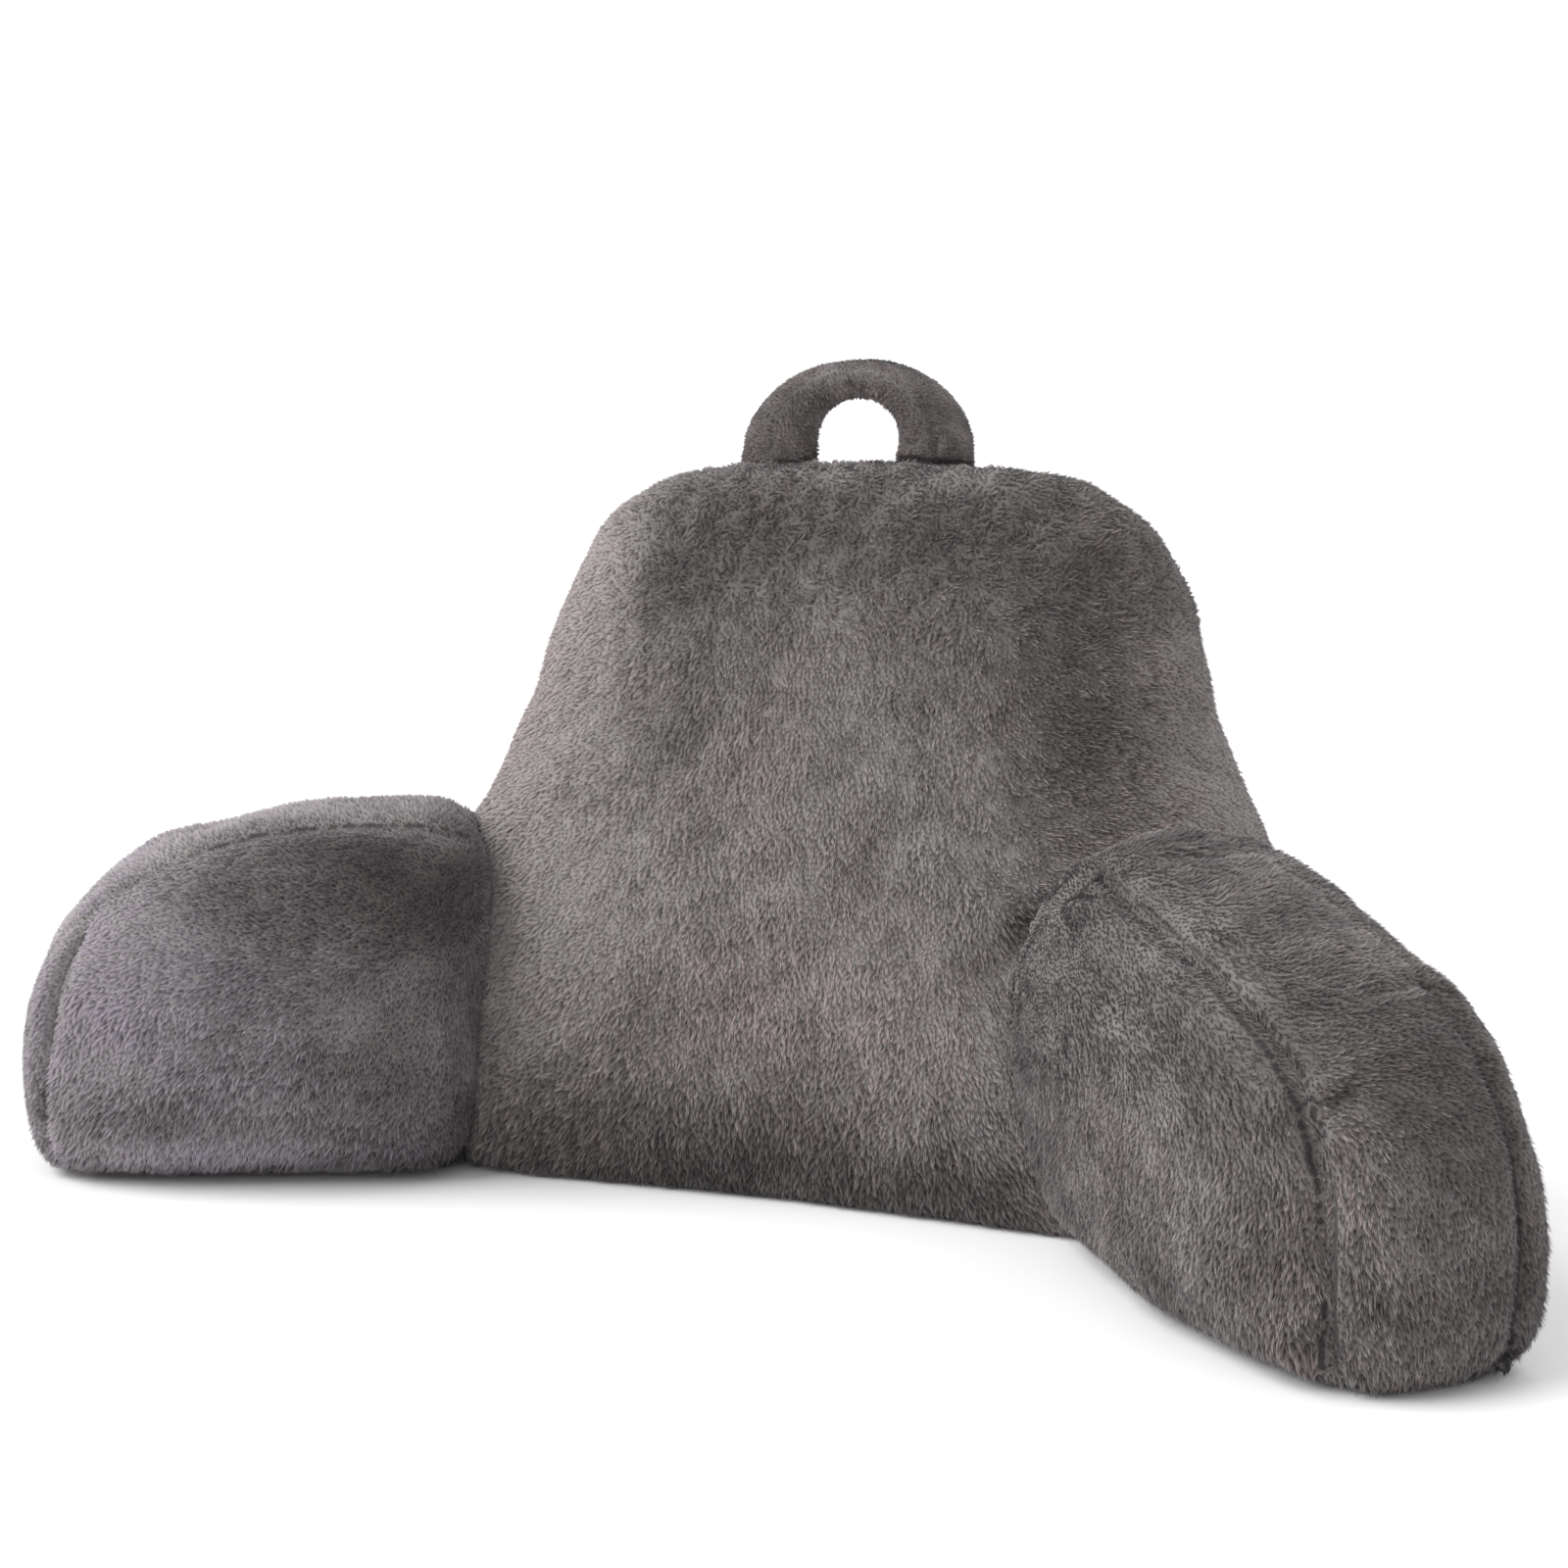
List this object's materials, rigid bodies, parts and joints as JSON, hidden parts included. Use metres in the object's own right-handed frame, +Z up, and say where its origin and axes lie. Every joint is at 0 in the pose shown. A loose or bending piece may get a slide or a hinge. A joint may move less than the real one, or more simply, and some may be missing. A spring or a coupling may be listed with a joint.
{
  "type": "reading pillow with arms",
  "caption": "Plush bed-rest pillow: a leaning back cushion with two splayed padded arms and a soft carry handle loop on its crest",
  "frame": {"origin": "on the floor, under the middle of the bounding box", "axes": "X across the pillow from arm to arm, Y from the sitter towards the rear, Z up"},
  "size_m": [1.0394, 0.444, 0.5349],
  "materials": {
    "back_plush": "short dense faux-fur pile, taupe grey",
    "arm_plush": "short dense faux-fur pile, taupe grey with a mauve cast",
    "handle_plush": "short dense faux-fur pile, dark taupe grey"
  },
  "bodies": {
    "root": {"backrest": "back_plush", "arm_left": "arm_plush", "arm_right": "arm_plush", "carry_handle": "handle_plush"}
  },
  "joints": []
}
